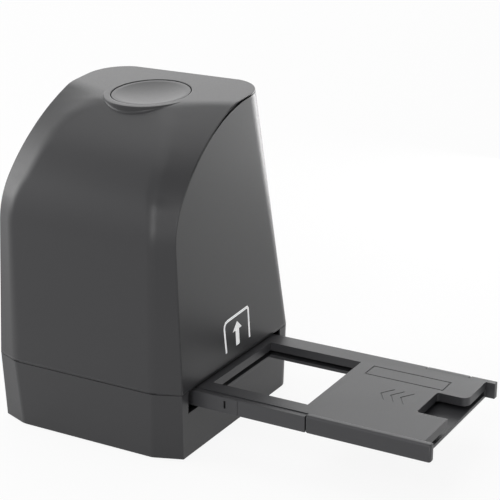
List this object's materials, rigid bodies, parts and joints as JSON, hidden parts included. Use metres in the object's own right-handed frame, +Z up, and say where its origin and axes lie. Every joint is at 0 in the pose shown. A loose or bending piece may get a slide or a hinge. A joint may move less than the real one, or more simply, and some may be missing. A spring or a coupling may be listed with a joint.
{
  "type": "film negative scanner",
  "caption": "Upright desktop film and slide scanner: curved front, flat sloping top with a round dished button, and a film tray that slides through the base.",
  "frame": {"origin": "on the plane that the rubber feet stand on, below the middle of the light path through the film gate", "axes": "+X is the way the film tray comes out, -Y is the curved front, +Z is up"},
  "size_m": [0.1886, 0.0956, 0.1362],
  "materials": {
    "housing_plastic": "fine satin grain",
    "button_plastic": "satin",
    "tray_plastic": "fine satin grain",
    "black_plastic": "matte",
    "white_plastic": "matte",
    "rubber": "matte",
    "screw_steel": "plated",
    "spring_steel": "bright",
    "socket_steel": "bright",
    "black_metal": "satin black",
    "board": "green circuit board",
    "chip": "matte",
    "lamp": "lamp resin",
    "diffuser": "milky",
    "lens_glass": "coated",
    "filter_glass": "tinted",
    "flat_cable": "satin"
  },
  "bodies": {
    "housing": {"base_shell": "housing_plastic", "front_cover": "housing_plastic", "rear_cover": "housing_plastic", "rubber_feet": "rubber", "housing_screws": "screw_steel", "guide_screws": "screw_steel", "tray_guide": "black_plastic", "detent_leaf": "spring_steel", "backlight_board": "board", "backlight_lamps": "lamp", "light_box": "white_plastic", "diffuser_plate": "diffuser", "optics_tunnel": "black_plastic", "tunnel_screws": "screw_steel", "lens_holder": "black_plastic", "camera_screws": "screw_steel", "lens_barrel": "black_metal", "lens_elements": "lens_glass", "infrared_filter": "filter_glass", "image_sensor": "chip", "sensor_board": "board", "main_board": "board", "main_board_screws": "screw_steel", "board_chips": "chip", "data_socket": "socket_steel", "socket_tongue": "white_plastic", "sensor_cable": "flat_cable", "button_cable": "flat_cable", "backlight_cable": "flat_cable", "push_switch": "black_plastic", "button_board": "board", "button_board_screws": "screw_steel", "button_spring": "spring_steel"},
    "tray": {"tray_body": "tray_plastic", "tray_cover": "tray_plastic", "near_clip_bar": "tray_plastic", "far_clip": "tray_plastic"},
    "button": {"scan_button": "button_plastic", "switch_plunger": "white_plastic"}
  },
  "joints": [
    {"name": "tray_slide", "type": "slide", "parent": "housing", "child": "tray", "axis": [1, 0, 0], "range_m": [-0.0682, 0.04]},
    {"name": "button_press", "type": "slide", "parent": "housing", "child": "button", "axis": [0, 0.0872, -0.9962], "range_m": [0, 0.0005], "stiffness_N_per_m": 1200, "springref_m": -0.001, "deforming": ["button_spring"]}
  ]
}
